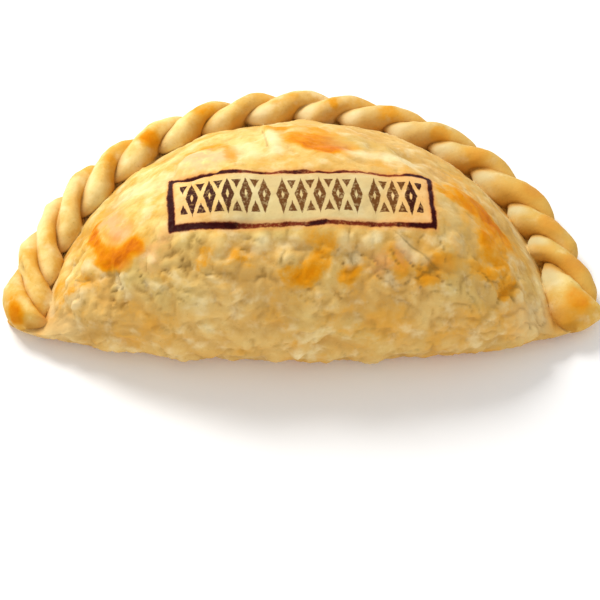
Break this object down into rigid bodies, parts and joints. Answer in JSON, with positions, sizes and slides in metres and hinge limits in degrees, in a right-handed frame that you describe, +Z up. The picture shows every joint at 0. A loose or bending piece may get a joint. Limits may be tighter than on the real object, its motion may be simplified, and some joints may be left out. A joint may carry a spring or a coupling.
{
  "type": "empanada",
  "caption": "Baked half-moon empanada, whole and uncut: a domed golden crust with a rope crimp round its curved edge, lying flat.",
  "frame": {"origin": "middle of the footprint, on the surface that the empanada lies on", "axes": "+Z up through the dome, +X along the straight fold from the left tip to the right tip, +Y from the fold to the back of the rope crimp"},
  "size_m": [0.1508, 0.093, 0.0379],
  "materials": {
    "baked_dough": "baked wheat dough brushed with egg: pale golden, satin, browned in patches, slightly blistered"
  },
  "bodies": {
    "root": {"empanada": "baked_dough"}
  },
  "joints": []
}
